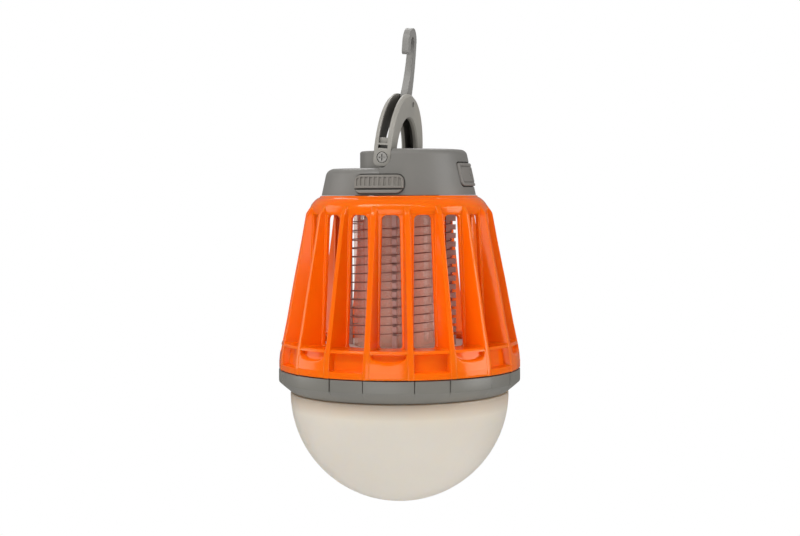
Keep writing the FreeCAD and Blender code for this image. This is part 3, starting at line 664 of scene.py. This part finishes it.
def panel(name, phi0, hw, z_lo, z_hi, r_lo, r_hi, h_out, h_in, relief, step, mat, body, replaces, edge=0.35, u_end=None):
    """Pad with rounded corners lying on the head's cone; h_* are heights above the cone."""
    ends = [0.0, 0.03, 0.08, 0.15, 0.24, 0.35]
    u_end = u_end or hw
    us = [x - u_end for x in spread(2 * u_end, step, ends)]
    full = z_hi - z_lo
    nz = max(2, int(round((full - 0.7) / step)))

    def zr(u, r, sign):
        q = abs(u) - (hw - r)
        return r - sqrt(max(0.0, r * r - q * q)) if q > 0 else 0.0
    rows = []
    a = radians(phi0)
    ca, sa = cos(a), sin(a)

    def put(u, z, h):
        r = head_r(z) + h
        y = -sqrt(r * r - u * u)
        return (u * ca - y * sa, u * sa + y * ca, z)
    front, back = [], []
    for u in us:
        zl, zh = z_lo + zr(u, r_lo, -1), z_hi - zr(u, r_hi, 1)
        H = zh - zl
        k = min(1.0, H / 0.9)
        zs = [zl + x * k for x in ends] + [zl + 0.35 * k + (H - 0.7 * k) * i / nz for i in range(1, nz)] + [zh - x * k for x in reversed(ends)]
        f, b_ = [], []
        for z in zs:
            d = min(z - zl, zh - z, u_end - abs(u))
            h = h_out + relief(u, z, d)
            if d < edge:
                h -= edge - sqrt(max(0.0, edge * edge - (edge - d) ** 2))
            f.append(put(u, z, h))
            b_.append(put(u, z, h_in))
        front.append(f)
        back.append(b_)
    m, n = len(front), len(front[0])
    verts = [p for c in front for p in c] + [p for c in back for p in c]
    o = m * n
    faces = []
    for i in range(m - 1):
        for j in range(n - 1):
            a0, a1, a2, a3 = i * n + j, (i + 1) * n + j, (i + 1) * n + j + 1, i * n + j + 1
            faces.append((a0, a1, a2, a3))
            faces.append((o + a3, o + a2, o + a1, o + a0))
    for i in range(m - 1):
        a0, a1 = i * n, (i + 1) * n
        faces.append((a1, a0, o + a0, o + a1))
        a0, a1 = i * n + n - 1, (i + 1) * n + n - 1
        faces.append((a0, a1, o + a1, o + a0))
    for j in range(n - 1):
        a0, a1 = j, j + 1
        faces.append((a0, a1, o + a1, o + a0))
        a0, a1 = (m - 1) * n + j, (m - 1) * n + j + 1
        faces.append((a1, a0, o + a0, o + a1))
    return make(name, verts, faces, mat, body, replaces, sharp=55)


def bar(x, w, soft=0.12):
    return sstep(w / 2 + soft / 2 - abs(x), 0.0, soft)


def flap_relief(u, z, d):
    field = sstep(d, 0.75, 0.92)
    grips = 0.0
    if abs(u) < 7.1:
        q = (u + 0.0) / 1.72
        grips = bar((q - round(q)) * 1.72, 0.85)
        grips *= bar(z - 116.2, 3.0, 0.3)
    return -0.34 * field * (1 - grips)


panel("port_cover_flap_pad", 0.0, 8.8, 113.9, 118.55, 0.25, 2.4, 1.35, 0.1, flap_relief, 0.11, "cover_rubber", "port_cover",
      ["port_cover"], edge=0.3)
panel("port_cover_root_pad", 0.0, 8.8, 112.2, 113.4, 2.6, 0.2, 1.30, -0.4, lambda u, z, d: 0.0, 0.3, "cover_rubber", "housing",
      ["port_cover_root"], edge=0.3, u_end=8.25)


def seg_dist(px, pz, ax, az, bx, bz):
    dx, dz = bx - ax, bz - az
    t = max(0.0, min(1.0, ((px - ax) * dx + (pz - az) * dz) / (dx * dx + dz * dz)))
    return sqrt((px - ax - t * dx) ** 2 + (pz - az - t * dz) ** 2)


def inside(px, pz, poly):
    c = False
    for (ax, az), (bx, bz) in zip(poly, poly[1:] + poly[:1]):
        if (az > pz) != (bz > pz) and px < (bx - ax) * (pz - az) / (bz - az) + ax:
            c = not c
    return c


def groove(dist, w, soft=0.14):
    return sstep(w / 2 + soft / 2 - dist, 0.0, soft)


def lamp_icon(u, z, d):
    """Shallow frame line and a plain light-bulb outline."""
    h = -0.34 * groove(abs(d - 1.3), 0.42, 0.2)
    z -= 118.75
    if abs(u) < 3 and abs(z) < 3:
        if z > -0.75:
            g = groove(abs(sqrt(u * u + (z - 0.45) ** 2) - 1.45), 0.36)
        else:
            g = 0.0
        g = max(g, groove(seg_dist(u, z, -0.7, -1.35, 0.7, -1.35), 0.34), groove(seg_dist(u, z, -0.45, -1.95, 0.45, -1.95), 0.34))
        h -= 0.3 * g
    return h


BOLT = [(0.35, 2.0), (-1.15, -0.25), (-0.15, -0.25), (-0.55, -2.0), (1.1, 0.45), (0.1, 0.45)]


def bolt_icon(u, z, d):
    """Shallow frame line and a plain zigzag."""
    h = -0.14 * groove(abs(d - 0.9), 0.28)
    z -= 115.75
    if abs(u) < 3 and abs(z) < 2.2:
        dist = min(seg_dist(u, z, p[0], p[1], q[0], q[1]) for p, q in zip(BOLT, BOLT[1:] + BOLT[:1]))
        sd = dist if inside(u, z, BOLT) else -dist
        h -= 0.2 * sstep(sd, -0.07, 0.07)
    return h


panel("lamp_button_pad", 90.0, 9.5, 114.65, 122.85, 1.43, 1.43, 0.55, -1.9, lamp_icon, 0.14, "button_rubber", "lamp_button",
      ["lamp_button"], edge=0.45)
panel("zapper_button_pad", 270.0, 8.2, 113.15, 118.35, 1.2, 1.2, 0.0, -1.9, bolt_icon, 0.14, "button_rubber", "zapper_button",
      ["zapper_button"], edge=0.3)

# ------------------------------------------------------------------ stage, light, camera


def stage_mat():
    m, nt, b, out = new_mat("stage_white")
    nt.links.new(ramp(nt, noise(nt, coord(nt), 3.0, 2.0), [(0.4, [0.68, 0.68, 0.68]), (0.6, [0.70, 0.70, 0.70])]),
                 b.inputs["Base Color"])
    b.inputs["Roughness"].default_value = 0.9
    b.inputs["Specular IOR Level"].default_value = 0.1
    em = nt.nodes.new("ShaderNodeEmission")
    em.inputs["Color"].default_value = (1, 1, 1, 1)
    em.inputs["Strength"].default_value = 1.0
    lp = nt.nodes.new("ShaderNodeLightPath")
    mx = nt.nodes.new("ShaderNodeMixShader")
    nt.links.new(lp.outputs["Is Camera Ray"], mx.inputs[0])
    nt.links.new(b.outputs[0], mx.inputs[1])
    nt.links.new(em.outputs[0], mx.inputs[2])
    nt.links.new(mx.outputs[0], out.inputs[0])
    return m


FLOOR_Z = -0.62
me = bpy.data.meshes.new("floor")
S = 12.0
me.from_pydata([(-S, -S, FLOOR_Z), (S, -S, FLOOR_Z), (S, S, FLOOR_Z), (-S, S, FLOOR_Z)], [], [(0, 1, 2, 3)])
me.update()
floor = bpy.data.objects.new("floor", me)
me.materials.append(stage_mat())
scene.collection.objects.link(floor)

w = bpy.data.worlds.new("studio")
scene.world = w
w.use_nodes = True
wt = w.node_tree
wt.nodes.clear()
wo = wt.nodes.new("ShaderNodeOutputWorld")
bg = wt.nodes.new("ShaderNodeBackground")
bg.inputs["Color"].default_value = (1, 1, 1, 1)
bg.inputs["Strength"].default_value = 1.0
bg2 = wt.nodes.new("ShaderNodeBackground")
bg2.inputs["Color"].default_value = (1, 1, 1, 1)
bg2.inputs["Strength"].default_value = 0.24
lp = wt.nodes.new("ShaderNodeLightPath")
mxw = wt.nodes.new("ShaderNodeMixShader")
wt.links.new(lp.outputs["Is Camera Ray"], mxw.inputs[0])
wt.links.new(bg2.outputs[0], mxw.inputs[1])
wt.links.new(bg.outputs[0], mxw.inputs[2])
wt.links.new(mxw.outputs[0], wo.inputs[0])


def area(name, loc, target, size, power, gloss=1.0, col=(1, 1, 1)):
    l = bpy.data.lights.new(name, "AREA")
    l.shape = "RECTANGLE"
    l.size, l.size_y = size
    l.energy = power
    l.color = col
    l.specular_factor = gloss
    o = bpy.data.objects.new(name, l)
    o.location = loc
    d = Vector(target) - Vector(loc)
    o.rotation_euler = d.to_track_quat("-Z", "Y").to_euler()
    o.visible_camera = False
    scene.collection.objects.link(o)
    return o


area("key", (-0.42, -0.68, 0.95), (0, 0, 0.08), (0.5, 0.5), 4.6)
area("strip", (0.02, -0.56, 1.0), (0, 0, 0.1), (1.5, 0.10), 3.8)
area("front", (0.0, -0.95, 0.0), (0, 0, 0.05), (0.6, 0.4), 2.15, 0.0)
area("under", (0.0, -0.30, -0.55), (0, 0, 0.0), (0.7, 0.7), 2.6, 0.0)
area("side_right", (0.98, 0.04, 0.26), (0, 0, 0.09), (0.5, 0.7), 5.2, 0.15)
area("side_left", (-0.95, -0.10, 0.32), (0, 0, 0.09), (0.5, 0.7), 2.1, 0.35)
area("back_top", (-0.20, 0.62, 0.85), (0, 0, 0.1), (0.7, 0.45), 3.5)

AZ, CD, CH, PITCH, ROLL, SIDE = 15.0, 0.5465, 0.112, 2.84, 0.25, 0.00033
cam = bpy.data.cameras.new("camera")
cam.lens = 67.5
cam.sensor_width = 36.0
cam.clip_start = 0.02
cam.clip_end = 50.0
co = bpy.data.objects.new("camera", cam)
a = radians(AZ)
loc = Vector((CD * sin(a) + SIDE * cos(a), -CD * cos(a) + SIDE * sin(a), CH))
fwd = Vector((-sin(a) * cos(radians(PITCH)), cos(a) * cos(radians(PITCH)), -sin(radians(PITCH))))
q = fwd.to_track_quat("-Z", "Y")
co.matrix_world = Matrix.Translation(loc) @ q.to_matrix().to_4x4() @ Matrix.Rotation(radians(-ROLL), 4, "Z")
scene.collection.objects.link(co)
scene.camera = co
scene.view_settings.view_transform = "Standard"
scene.view_settings.look = "None"
